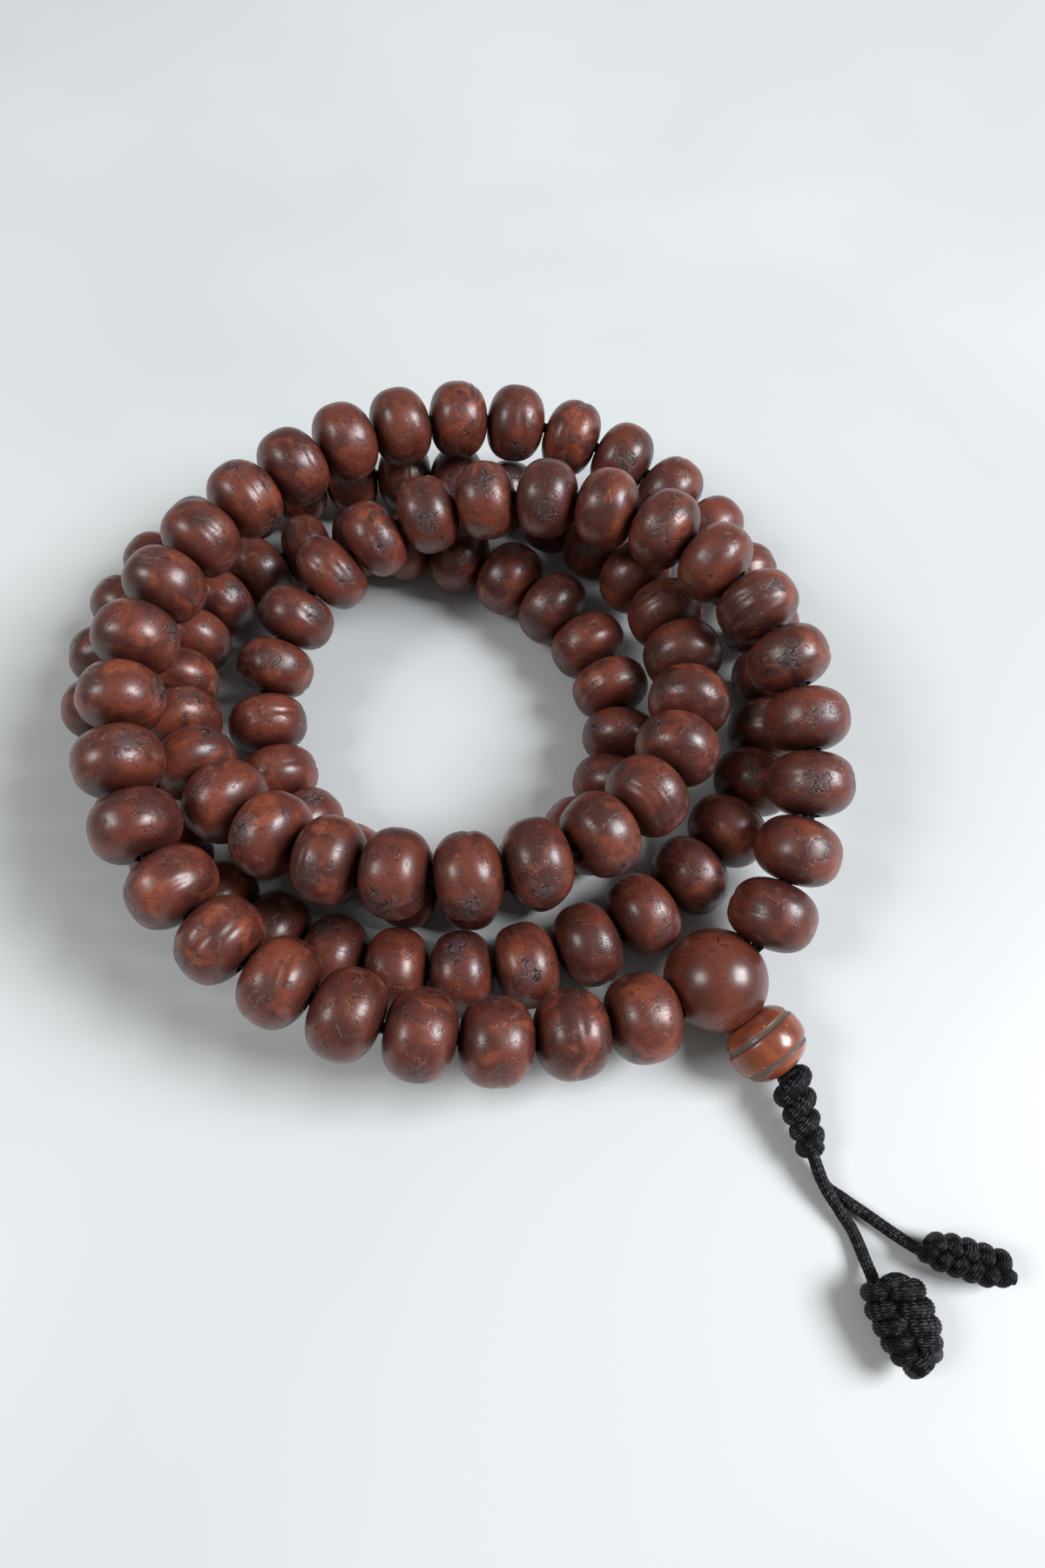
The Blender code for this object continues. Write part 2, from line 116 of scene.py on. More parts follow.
class Shader:
    """A Principled material, with short ways to add the nodes that feed it."""

    def __init__(self, name):
        self.material = bpy.data.materials.new(name)
        self.material.use_nodes = True
        self.tree = self.material.node_tree
        self.surface = self.tree.nodes["Principled BSDF"]

    def node(self, kind, inputs=None, **settings):
        made = self.tree.nodes.new(kind)
        for name, value in settings.items():
            setattr(made, name, value)
        for socket, value in (inputs or {}).items():
            self.feed(made.inputs[socket], value)
        return made

    def feed(self, socket, value):
        """Link what another node gives; a uniform value is written on the socket itself."""
        if isinstance(value, bpy.types.NodeSocket):
            self.tree.links.new(value, socket)
        else:
            socket.default_value = value

    def set(self, **inputs):
        for name, value in inputs.items():
            self.feed(self.surface.inputs[name.replace("_", " ")], value)

    def math(self, operation, first, second=0.0):
        return self.node("ShaderNodeMath", {0: first, 1: second}, operation=operation).outputs[0]

    def times(self, first, second):
        return self.math("MULTIPLY", first, second)

    def plus(self, first, second):
        return self.math("ADD", first, second)

    def minus(self, first, second):
        return self.math("SUBTRACT", first, second)

    def mix(self, factor, first, second):
        return self.node("ShaderNodeMix", {0: factor, 6: first, 7: second}, data_type="RGBA").outputs[2]

    def ramp(self, value, low, high, to_low=0.0, to_high=1.0):
        """A smooth step from to_low, where the value is low, to to_high, where it is high."""
        made = self.node("ShaderNodeMapRange", {0: value, 1: low, 2: high, 3: to_low, 4: to_high},
                         interpolation_type="SMOOTHSTEP")
        return made.outputs[0]

    def noise(self, vector, scale, detail=2.0, roughness=0.5, distortion=0.0):
        made = self.node("ShaderNodeTexNoise", {"Vector": vector, "Scale": scale,
                         "Detail": detail, "Roughness": roughness, "Distortion": distortion})
        return made.outputs["Fac"]

    def cracks(self, vector, scale):
        """The distance from a net of cracks."""
        made = self.node("ShaderNodeTexVoronoi", {"Vector": vector, "Scale": scale},
                         feature="DISTANCE_TO_EDGE")
        return made.outputs["Distance"]

    def stretched(self, vector, scale):
        return self.node("ShaderNodeVectorMath", {0: vector, 1: scale}, operation="MULTIPLY").outputs[0]

    def moved(self, vector, amount):
        return self.node("ShaderNodeVectorMath", {0: vector, 1: amount}, operation="ADD").outputs[0]

    def bent(self, vector, scale, amount):
        """The same coordinates, pushed about by a noise, so that straight cracks wander."""
        wander = self.node("ShaderNodeTexNoise", {"Vector": vector, "Scale": scale, "Detail": 2.0})
        return self.moved(vector, self.stretched(wander.outputs["Color"], (amount,) * 3))

    def attribute(self, name):
        return self.node("ShaderNodeAttribute", attribute_type="OBJECT",
                         attribute_name=name).outputs["Fac"]

    def own(self):
        """The piece's own coordinates, in millimetres."""
        return self.stretched(self.node("ShaderNodeTexCoord").outputs["Object"], (1000.0,) * 3)

    def seeded(self, own):
        """The same coordinates moved by the piece's seed, so that no two pieces are marked alike."""
        seed = self.times(self.attribute("seed"), 61.0)
        shift = self.node("ShaderNodeCombineXYZ", {0: seed, 1: seed, 2: seed}).outputs[0]
        return self.moved(own, shift)

    def bump(self, height, distance, strength=1.0):
        made = self.node("ShaderNodeBump", {"Height": height, "Distance": distance,
                         "Strength": strength})
        self.set(Normal=made.outputs[0])


def rgb(red, green, blue):
    return (red, green, blue, 1.0)


BEAD_COLOURS = {
    "deep": rgb(0.058, 0.0145, 0.0105),
    "red": rgb(0.145, 0.0315, 0.0180),
    "warm": rgb(0.225, 0.051, 0.023),
    "grain": rgb(0.034, 0.009, 0.006),
    "end": rgb(0.020, 0.006, 0.005),
    # a painted grey-blue sheen, laid on the marks round a bead's middle
    "painted mark sheen": rgb(0.046, 0.029, 0.034),
    "crack": rgb(0.007, 0.004, 0.005),
    "crack side": rgb(0.21, 0.125, 0.105),
    "scratch": rgb(0.24, 0.13, 0.095),
    "hairline": rgb(0.014, 0.006, 0.006),
    "dust": rgb(0.27, 0.17, 0.13),
    "pit": rgb(0.012, 0.005, 0.005),
}
GURU_COLOURS = {
    "deep": rgb(0.076, 0.0185, 0.0115),
    "maroon": rgb(0.145, 0.033, 0.017),
    "grain": rgb(0.05, 0.012, 0.009),
    "vein": rgb(0.015, 0.007, 0.007),
}
STUPA_COLOURS = {
    "deep": rgb(0.145, 0.033, 0.016),
    "orange": rgb(0.255, 0.063, 0.024),
    "band": rgb(0.075, 0.052, 0.042),
    "chip": rgb(0.42, 0.24, 0.13),
    "pit": rgb(0.035, 0.015, 0.012),
}
CORD_COLOURS = {
    "black": rgb(0.0032, 0.0033, 0.0040),
    "fibre": rgb(0.0120, 0.0125, 0.0145),
    # a painted grey glint for the raised stitches of the cord
    "painted_glint": rgb(0.120, 0.126, 0.139),
    # painted shade for the valleys of the braid
    "painted_valley_shade": rgb(0.0015, 0.0015, 0.0018),
    "core": rgb(0.014, 0.014, 0.016),
    "pale core": rgb(0.060, 0.062, 0.068),
}
FLOOR_COLOURS = {
    "grey": rgb(0.525, 0.542, 0.546),
    "pale": rgb(0.580, 0.592, 0.594),
}
MARKS = 3.0                        # the most marks on a bead
MARK_RADIUS = 1.9                  # of a mark, in mm


def bead_material():
    """Hand-polished seed wood: red-brown, darker at the ends, with cracked marks round its middle that carry
    a painted grey-blue sheen.
    """
    shader, colours = Shader("bead_wood"), BEAD_COLOURS
    own = shader.own()
    moved = shader.seeded(own)
    seed, tone = shader.attribute("seed"), shader.attribute("tone")
    height = shader.math("ABSOLUTE", shader.node("ShaderNodeSeparateXYZ", {0: own}).outputs[2])
    middle = shader.ramp(height, 3.2, 0.8)
    ends = shader.ramp(height, 2.4, 4.0)

    cloud = shader.noise(moved, 0.16, 3.0, 0.6, 0.4)
    patch = shader.noise(moved, 0.30, 2.0, 0.5, 0.8)
    grain = shader.noise(shader.stretched(moved, (2.2, 2.2, 0.35)), 1.0, 4.0, 0.65)
    speck = shader.noise(moved, 3.0, 2.0, 0.6)

    colour = shader.mix(shader.ramp(cloud, 0.36, 0.64), colours["deep"], colours["red"])
    warm = shader.times(shader.ramp(patch, 0.48, 0.68), shader.ramp(tone, 0.0, 0.9, 0.25, 1.0))
    colour = shader.mix(warm, colour, colours["warm"])
    colour = shader.mix(shader.ramp(grain, 0.30, 0.75, 0.0, 0.40), colour, colours["grain"])
    colour = shader.mix(shader.times(ends, 0.6), colour, colours["end"])

    # Marks, rougher than the rest and with a painted grey-blue sheen, and the wide cracks in them, which have
    # a pale side.
    mark, strong = bead_marks(shader, own, moved, seed)
    colour = shader.mix(shader.times(mark, 0.62), colour, colours["painted mark sheen"])
    bent = shader.bent(moved, 0.9, 1.8)
    edge = shader.cracks(bent, 0.60)
    broken = shader.times(shader.ramp(shader.noise(moved, 0.75, 2.0), 0.47, 0.56), strong)
    vein = shader.times(shader.ramp(edge, 0.080, 0.025), broken)
    pale_side = shader.times(shader.ramp(edge, 0.20, 0.13), shader.ramp(edge, 0.07, 0.11))
    pale_side = shader.times(pale_side, broken)
    colour = shader.mix(shader.times(pale_side, 0.35), colour, colours["crack side"])
    colour = shader.mix(shader.times(vein, 0.85), colour, colours["crack"])

    # Pale scratches round the middle, dark hairline cracks, dust and pits.
    scratch = shader.ramp(shader.cracks(shader.moved(bent, (17.0, 5.0, 9.0)), 0.21), 0.028, 0.010)
    scratch = shader.times(scratch, shader.ramp(shader.noise(moved, 0.55, 2.0), 0.50, 0.58))
    scratch = shader.times(scratch, middle)
    colour = shader.mix(shader.times(scratch, 0.30), colour, colours["scratch"])
    hair = shader.ramp(shader.cracks(shader.moved(bent, (3.0, 31.0, 12.0)), 0.55), 0.045, 0.012)
    hair = shader.times(hair, shader.ramp(shader.noise(moved, 0.62, 2.0), 0.50, 0.60))
    hair = shader.times(hair, shader.ramp(height, 3.9, 2.9))
    colour = shader.mix(shader.times(hair, 0.60), colour, colours["hairline"])
    dust = shader.times(shader.ramp(speck, 0.66, 0.74), shader.ramp(grain, 0.45, 0.60))
    colour = shader.mix(shader.times(dust, 0.45), colour, colours["dust"])
    pit = shader.ramp(speck, 0.33, 0.27)
    colour = shader.mix(shader.times(pit, 0.7), colour, colours["pit"])

    rough = shader.plus(shader.ramp(grain, 0.2, 0.8, 0.31, 0.42), shader.times(mark, 0.08))
    shader.set(Base_Color=colour, Roughness=rough, Coat_Weight=0.15, Coat_Roughness=0.22)
    relief = shader.times(grain, 0.16)
    for sunk, depth in ((vein, 0.85), (pit, 0.35), (scratch, 0.20), (hair, 0.45)):
        relief = shader.minus(relief, shader.times(sunk, depth))
    shader.bump(relief, 0.11 * MM, 0.9)
    return shader.material


def bead_marks(shader, own, moved, seed):
    """Up to three marks round a bead's middle, which get a painted grey-blue sheen: how deep in a mark a
    point is, soft and sharp.
    """
    x, y, z = shader.node("ShaderNodeSeparateXYZ", {0: own}).outputs
    turn = shader.times(shader.math("ARCTAN2", y, x), MARKS / math.tau)
    turn = shader.plus(turn, shader.times(seed, 7.3))
    turn = shader.math("FLOORED_MODULO", turn, MARKS)
    number = shader.math("FLOOR", turn)
    along = shader.minus(shader.math("FRACT", turn), 0.5)
    along = shader.times(along, math.tau * BEAD_RADIUS / MM / MARKS)
    chance = shader.node("ShaderNodeTexWhiteNoise", {"W": shader.plus(number, seed)},
                         noise_dimensions="1D").outputs["Value"]
    lift = shader.times(shader.minus(chance, 0.5), 2.2)
    above = shader.times(shader.minus(z, lift), 1.35)
    away = shader.math("SQRT", shader.plus(shader.times(along, along), shader.times(above, above)))
    ragged = shader.times(shader.minus(shader.noise(moved, 0.7, 3.0, 0.6), 0.5), 3.4)
    away = shader.plus(away, ragged)
    soft = shader.ramp(away, MARK_RADIUS + 0.9, MARK_RADIUS - 1.2)
    sharp = shader.ramp(away, MARK_RADIUS + 0.5, MARK_RADIUS - 0.2)
    return (shader.times(soft, shader.ramp(chance, 0.25, 0.60)),
            shader.times(sharp, shader.ramp(chance, 0.38, 0.62)))


def guru_material():
    """The guru bead: a smooth, even maroon with one faint veined patch."""
    shader, colours = Shader("guru_wood"), GURU_COLOURS
    moved = shader.seeded(shader.own())
    cloud = shader.noise(moved, 0.14, 3.0, 0.55, 0.3)
    grain = shader.noise(shader.stretched(moved, (1.6, 1.6, 0.5)), 1.0, 4.0, 0.6)
    colour = shader.mix(shader.ramp(cloud, 0.35, 0.68), colours["deep"], colours["maroon"])
    colour = shader.mix(shader.ramp(grain, 0.35, 0.8, 0.0, 0.35), colour, colours["grain"])
    edge = shader.cracks(shader.bent(moved, 0.8, 1.6), 0.55)
    vein = shader.times(shader.ramp(edge, 0.04, 0.012), shader.ramp(cloud, 0.52, 0.62))
    colour = shader.mix(shader.times(vein, 0.8), colour, colours["vein"])
    shader.set(Base_Color=colour, Roughness=shader.ramp(grain, 0.2, 0.8, 0.27, 0.36),
               Coat_Weight=0.15, Coat_Roughness=0.2)
    shader.bump(shader.minus(shader.times(grain, 0.2), vein), 0.04 * MM)
    return shader.material


def stupa_material():
    """The stupa bead: polished orange-brown with two dull carved bands and a few pale chips."""
    shader, colours = Shader("stupa_wood"), STUPA_COLOURS
    own = shader.own()
    moved = shader.seeded(own)
    cloud = shader.noise(moved, 0.22, 3.0, 0.55, 0.4)
    fine = shader.noise(moved, 2.2, 4.0, 0.65)
    colour = shader.mix(shader.ramp(cloud, 0.35, 0.68), colours["deep"], colours["orange"])
    wobble = shader.times(shader.minus(fine, 0.5), 0.5)
    place = shader.plus(shader.node("ShaderNodeSeparateXYZ", {0: own}).outputs[2], wobble)
    bands = []
    for middle, outer, inner in ((1.56, 0.50, 0.30), (-1.91, 0.44, 0.26)):
        away = shader.math("ABSOLUTE", shader.minus(place, middle))
        bands.append(shader.ramp(away, outer, inner))
    band = shader.plus(*bands)
    colour = shader.mix(shader.times(band, 0.85), colour, colours["band"])
    chip = shader.ramp(shader.noise(moved, 1.3, 2.0, 0.5, 0.6), 0.70, 0.74)
    colour = shader.mix(chip, colour, colours["chip"])
    pit = shader.ramp(fine, 0.68, 0.76)
    colour = shader.mix(shader.times(pit, 0.6), colour, colours["pit"])
    rough = shader.plus(shader.ramp(fine, 0.2, 0.8, 0.20, 0.32), shader.times(band, 0.30))
    shader.set(Base_Color=colour, Roughness=rough, Coat_Weight=0.25, Coat_Roughness=0.15)
    sunk = shader.plus(chip, shader.times(pit, 0.4))
    shader.bump(shader.minus(shader.times(fine, 0.3), sunk), 0.05 * MM)
    return shader.material


def cord_material():
    """Black braided waxed cord: nearly black, darker still with painted shade in the braid's valleys, and a
    painted grey glint on raised stitches where it is rubbed.
    """
    shader, colours = Shader("cord_black"), CORD_COLOURS
    own = shader.own()
    fibre = shader.noise(own, 6.0, 3.0, 0.7)
    glint_where_rubbed = shader.noise(own, 0.9, 3.0, 0.6)
    raised = shader.node("ShaderNodeAttribute", attribute_name="raised").outputs["Fac"]
    colour = shader.mix(shader.ramp(fibre, 0.40, 0.80), colours["black"], colours["fibre"])
    # Painted glint: a grey highlight painted on raised stitches, in rubbed patches.
    painted_glint = shader.times(shader.ramp(raised, 0.55, 0.90), shader.ramp(glint_where_rubbed, 0.42, 0.62))
    painted_glint = shader.times(painted_glint, shader.ramp(fibre, 0.38, 0.54))
    colour = shader.mix(shader.times(painted_glint, 0.72), colour, colours["painted_glint"])
    # Painted shade: darker in the valleys of the braid, where it is least raised.
    colour = shader.mix(shader.ramp(raised, 0.50, 0.05), colour, colours["painted_valley_shade"])
    shader.set(Base_Color=colour, Roughness=shader.ramp(fibre, 0.2, 0.8, 0.36, 0.58),
               Specular_IOR_Level=0.10)
    shader.bump(fibre, 0.05 * MM, 0.8)
    return shader.material


def cut_end_material():
    """The cut end of the cord, where its pale core shows."""
    shader, colours = Shader("cord_cut_end"), CORD_COLOURS
    fibre = shader.noise(shader.own(), 7.0, 3.0, 0.7)
    colour = shader.mix(shader.ramp(fibre, 0.3, 0.7), colours["core"], colours["pale core"])
    shader.set(Base_Color=colour, Roughness=0.6, Specular_IOR_Level=0.2)
    shader.bump(fibre, 0.04 * MM)
    return shader.material


def floor_material():
    """Pale, nearly even stone."""
    shader, colours = Shader("floor"), FLOOR_COLOURS
    metres = shader.node("ShaderNodeTexCoord").outputs["Object"]
    cloud = shader.noise(metres, 9.0, 3.0, 0.5, 0.4)
    colour = shader.mix(shader.ramp(cloud, 0.35, 0.65), colours["grey"], colours["pale"])
    shader.set(Base_Color=colour, Roughness=0.45)
    return shader.material


# ---- shapes -------------------------------------------------------------------------------------

def unit(vectors):
    return vectors / np.linalg.norm(vectors, axis=-1, keepdims=True)


def add_mesh(name, points, faces, material):
    mesh = bpy.data.meshes.new(name)
    mesh.from_pydata(points.tolist(), [], faces)
    mesh.materials.append(material)
    mesh.shade_smooth()
    obj = bpy.data.objects.new(name, mesh)
    bpy.context.scene.collection.objects.link(obj)
    return obj


def grid_faces(rows, around, closed=False):
    """Quads between rows of vertices that each run round; closed joins the last row to the first."""
    faces = []
    for row in range(rows if closed else rows - 1):
        here, there = row * around, (row + 1) % rows * around
        for step in range(around):
            after = (step + 1) % around
            faces.append((here + step, there + step, there + after, here + after))
    return faces


def add_field(obj, name, values):
    """A number for each point of a mesh, for its material to read."""
    layer = obj.data.attributes.new(name, "FLOAT", "POINT")
    layer.data.foreach_set("value", np.asarray(values, np.float32))


def smooth_line(points, spacing):
    """The smooth curve through these points, with a point about every spacing."""
    route = np.array(points, float)
    route = np.vstack([2 * route[0] - route[1], route, 2 * route[-1] - route[-2]])
    dense = []
    for before, start, end, after in zip(route, route[1:], route[2:], route[3:]):
        for t in np.linspace(0.0, 1.0, 24, endpoint=False):
            dense.append(0.5 * (
                2 * start + (end - before) * t + (2 * before - 5 * start + 4 * end - after) * t ** 2
                + (3 * start - before - 3 * end + after) * t ** 3))
    dense.append(route[-2])
    return evenly(np.array(dense), spacing)


def evenly(line, spacing):
    """The same line with evenly spaced points, about this far apart."""
    along = np.append(0.0, np.cumsum(np.linalg.norm(np.diff(line, axis=0), axis=1)))
    count = max(2, int(round(along[-1] / spacing)) + 1)
    wanted = np.linspace(0.0, along[-1], count)
    return np.stack([np.interp(wanted, along, line[:, axis]) for axis in range(3)], axis=1)


def length_of(line):
    return float(np.linalg.norm(np.diff(line, axis=0), axis=1).sum())


def frames_along(line):
    """Two unit vectors across a line at each of its points, that turn as little as possible."""
    tangents = unit(np.gradient(line, axis=0))
    across = np.cross(tangents[0], UP if abs(tangents[0][2]) < 0.9 else np.array([1.0, 0, 0]))
    rows = []
    for tangent in tangents:
        across = unit(across - tangent * (across @ tangent))
        rows.append(across)
    across = np.array(rows)
    return across, np.cross(tangents, across)


def braid(angle, distance, columns, stitch, depth):
    """The relief of a braid, and how raised each point is, from 0 to 1.

    It has columns of slanted stitches that lean in turn both ways."""
    column = angle / math.tau * columns
    number = np.floor(column)
    inside = column - number
    lean = np.where(number % 2 == 0, 1.0, -1.0)
    row = distance / stitch + lean * (inside - 0.5) * 0.8
    row = row - np.floor(row)
    raised = np.sqrt(np.clip(np.sin(math.pi * row), 0, 1))
    raised = raised * np.sqrt(np.clip(np.sin(math.pi * inside), 0, 1))
    return depth * (raised - 0.6), raised


def tube(line, radii, around, columns=12, stitch=0.66 * MM, depth=0.085 * MM):
    """Points and faces of a closed braided tube along a line, and how raised each point is.

    Points that would come below the floor are moved up to it."""
    across, over = frames_along(line)
    distance = np.append(0.0, np.cumsum(np.linalg.norm(np.diff(line, axis=0), axis=1)))
    radii = np.broadcast_to(radii, len(line))
    angle = np.arange(around) / around * math.tau
    relief, raised = braid(angle[None, :] + 1e-6, distance[:, None], columns, stitch, depth)
    radius = radii[:, None] + relief * np.clip(radii / (0.6 * MM), 0, 1)[:, None]
    points = (line[:, None] + radius[..., None] * (
        np.cos(angle)[None, :, None] * across[:, None]
        + np.sin(angle)[None, :, None] * over[:, None])).reshape(-1, 3)
    points[:, 2] = np.maximum(points[:, 2], FLOOR_GAP)
    rows = len(line)
    faces = grid_faces(rows, around)
    faces.append(tuple(range(around)))
    faces.append(tuple(reversed(range((rows - 1) * around, rows * around))))
    return points, faces, raised.reshape(-1)


def join_shells(shells):
    """Several (points, faces, raised) in one."""
    points, faces, raised, start = [], [], [], 0
    for shell_points, shell_faces, shell_raised in shells:
        points.append(shell_points)
        raised.append(shell_raised)
        faces += [tuple(start + corner for corner in face) for face in shell_faces]
        start += len(shell_points)
    return np.vstack(points), faces, np.concatenate(raised)


def add_cord(name, shells, material):
    points, faces, raised = join_shells(shells)
    obj = add_mesh(name, points, faces, material)
    add_field(obj, "raised", raised)
    return obj


# ---- the tails and their knots ------------------------------------------------------------------

cord_black = cord_material()


def tail_line(shift, route, knot):
    """From the stupa bead's lower mouth, through the snake knot, to the far end of the last knot."""
    exit_point = GURU_CENTRE + TAIL_DIRECTION * STUPA_END + shift
    points = np.array([*route, *knot]) + ROUTE_TO_FRAME
    knot_end = np.array(SNAKE_KNOT_END) + ROUTE_TO_FRAME
    into_knot = 0.6 * exit_point + 0.4 * knot_end + 0.5 * shift
    return smooth_line(np.vstack([exit_point, into_knot, points]), 0.12 * MM)


def knot_axes(axis):
    """A knot's start and end, and its directions along, across and over it.

    Across is to the camera's right for the front knot and away from it for the right one."""
    start, end = (np.array(point) + ROUTE_TO_FRAME for point in axis)
    along = unit(end - start)
    across = unit(np.cross(UP, along))
    return start, end, along, across, np.cross(along, across)


def fat_cord(line, thickness):
    """A plump braided lobe with rounded ends along a line."""
    line = evenly(line, KNOT_SPACING)
    share = np.linspace(0.0, 1.0, len(line))
    swell = thickness * (0.86 + 0.17 * np.sin(math.pi * share))
    from_end = np.minimum(share, 1 - share) * length_of(line) / thickness
    swell = swell * np.sqrt(np.clip(1 - (1 - np.clip(from_end, 0.02, 1)) ** 2, 0, 1))
    return tube(line, swell, 72, columns=18, stitch=0.62 * MM, depth=0.11 * MM)


def half_rings(axis, shift, lobes, half_height):
    """Lobes of a knot: each goes from over the middle out to one side and back under it.

    The middle lies shift across from the axis. A lobe is (place along the axis, side,
    half width, slant, thickness, angle at which it begins); slant moves its side along."""
    start, end, along, across, over = knot_axes(axis)
    shells = []
    for place, side, half_width, slant, thickness, begins in lobes:
        centre = start + (end - start) * place + shift * across
        turn = np.radians(np.linspace(begins, 200.0, LOBE_POINTS))
        bow = np.sin(turn)
        dive = LOBE_DIVE * np.clip(1 - np.linspace(0.0, 6.0, LOBE_POINTS), 0, 1) ** 2
        line = (centre + side * half_width * bow[:, None] * across
                + (half_height * np.cos(turn) - dive)[:, None] * over
                + slant * (bow - 0.5)[:, None] * along)
        shells.append(fat_cord(line, thickness))
    return shells


def knot_core(axis, shift, radius):
    """The strands inside a knot, which only show dark between its lobes."""
    start, end, _, across, _ = knot_axes(axis)
    inside = start + np.array([[0.04], [0.84]]) * (end - start)
    line = evenly(inside + shift * across, 0.3 * MM)
    share = np.linspace(0.0, 1.0, len(line))
    radii = radius * np.clip(np.sqrt(np.clip(1 - (2 * share - 1) ** 4, 0, 1)), 0.35, 1)
    return tube(line, radii, 32)


def knot_line(origin, directions, points):
    """The smooth line through points given in mm along, across and over a knot."""
    along, across, over = directions
    placed = [origin + MM * (a * along + c * across + o * over) for a, c, o in points]
    return smooth_line(placed, KNOT_SPACING)


front_line = tail_line(STRAND_SHIFT, FRONT_TAIL, FRONT_KNOT)
right_line = tail_line(-STRAND_SHIFT, RIGHT_TAIL, RIGHT_KNOT)
tail_front = add_cord("front_tail_cord", [tube(front_line, CORD_RADIUS, 60)], cord_black)
tail_right = add_cord("right_tail_cord", [tube(right_line, CORD_RADIUS, 60)], cord_black)

# Front knot: two columns of lobes like a wheat braid, with an arch on top and the cut end below.
front_lobes = [(place, -1, width * MM, -0.45 * MM, thick * MM, 18.0) for place, width, thick in (
    (-0.04, 2.10, 0.92), (0.17, 2.50, 0.98), (0.38, 2.50, 0.98), (0.58, 2.50, 0.94), (0.76, 2.20, 0.90))]
front_lobes += [(place, 1, width * MM, 0.85 * MM, thick * MM, -12.0) for place, width, thick in (
    (0.07, 2.60, 1.12), (0.30, 2.55, 1.12), (0.51, 2.35, 1.10), (0.69, 1.80, 0.96))]
front_shells = half_rings(FRONT_KNOT, FRONT_SHIFT, front_lobes, 1.95 * MM)
front_shells.append(knot_core(FRONT_KNOT, FRONT_SHIFT, 2.1 * MM))
start, end, *directions = knot_axes(FRONT_KNOT)
arch = knot_line(start, directions, (
    (0.9, 0.0, 0.2), (-0.2, 0.3, 1.0), (-0.7, 1.2, 1.5), (-0.6, 2.3, 1.4), (0.1, 3.2, 0.8), (1.0, 3.5, -0.4)))
front_shells.append(fat_cord(arch, 0.92 * MM))
foot = knot_line(end, directions, (
    (-1.6, 1.9, 0.9), (-1.3, 1.2, 1.5), (-1.1, 0.3, 1.3), (-0.9, 0.1, 0.1), (-1.0, 0.7, -1.0)))
front_shells.append(fat_cord(foot, 1.12 * MM))
front_knot = add_cord("front_knot_lobes", front_shells, cord_black)
stub = knot_line(end, directions, ((-1.6, 1.2, 0.5), (-1.4, 2.4, 0.7), (-1.1, 3.6, 0.7)))
front_stub = add_cord("front_knot_cut_end", [fat_cord(stub, 0.95 * MM)], cut_end_material())

# Right knot: two rows of lobes that meet in a zigzag along the middle.
right_lobes = [(place, -1, width * MM, -0.30 * MM, thick * MM, 6.0) for place, width, thick in (
    (-0.07, 0.85, 0.80), (0.10, 1.20, 0.92), (0.29, 1.28, 0.94), (0.48, 1.32, 0.94), (0.67, 1.28, 0.94),
    (0.85, 0.85, 0.92))]
right_lobes += [(place, 1, width * MM, 0.30 * MM, thick * MM, -6.0) for place, width, thick in (
    (0.00, 1.00, 0.88), (0.185, 1.28, 0.94), (0.38, 1.30, 0.96), (0.58, 1.28, 0.96), (0.78, 1.20, 0.94))]
right_shells = half_rings(RIGHT_KNOT, RIGHT_SHIFT, right_lobes, 1.60 * MM)
right_shells.append(knot_core(RIGHT_KNOT, RIGHT_SHIFT, 1.5 * MM))
right_knot = add_cord("right_knot_lobes", right_shells, cord_black)


def snake_knot_shells():
    """Tilted rings of cord pulled tight round the two strands, each higher on its right.

    A ring is (place, tilt, half width, shift to the left, thickness), all in mm."""
    top = GURU_CENTRE + TAIL_DIRECTION * (STUPA_END - 0.1 * MM)
    bottom = np.array(SNAKE_KNOT_END) + ROUTE_TO_FRAME
    along = unit(bottom - top)
    left = unit(np.cross(along, UP))
    over = np.cross(left, along)
    half_height = 0.95
    shells = []
    for place, tilt, wide, aside, thick in (
            (1.85, 0.95, 1.40, -0.05, 1.20), (4.20, 0.85, 1.15, -0.10, 1.13),
            (6.30, 0.65, 1.00, -0.05, 1.03), (8.20, 0.65, 0.95, -0.05, 0.97)):
        turn = np.radians(np.linspace(-85.0, 262.0, 90))
        bow, rise = np.cos(turn)[:, None], np.sin(turn)[:, None]
        line = top + MM * (place * along + aside * left + wide * bow * left
                           + half_height * rise * over + tilt * bow * along)
        shells.append(fat_cord(line, thick * MM))
    lobe = knot_line(bottom, (along, -left, over), (
        (-1.5, -0.3, -0.8), (-0.9, 0.6, -0.4), (-0.8, 0.7, 0.4), (-1.3, 0.1, 1.0)))
    shells.append(fat_cord(lobe, 0.72 * MM))
    core = evenly(np.array([top, bottom]), 0.3 * MM)
    shells.append(tube(core, np.linspace(1.45, 1.05, len(core)) * MM, 40))
    return shells


snake_knot = add_cord("snake_knot_lobes", snake_knot_shells(), cord_black)
for piece, node in ((snake_knot, "snake_knot"), (tail_front, "tail_front"),
                    (tail_right, "tail_right"), (front_knot, "tail_front"),
                    (front_stub, "tail_front"), (right_knot, "tail_right")):
    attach(piece, "string")
    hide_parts(node)


# ---- the beads ----------------------------------------------------------------------------------

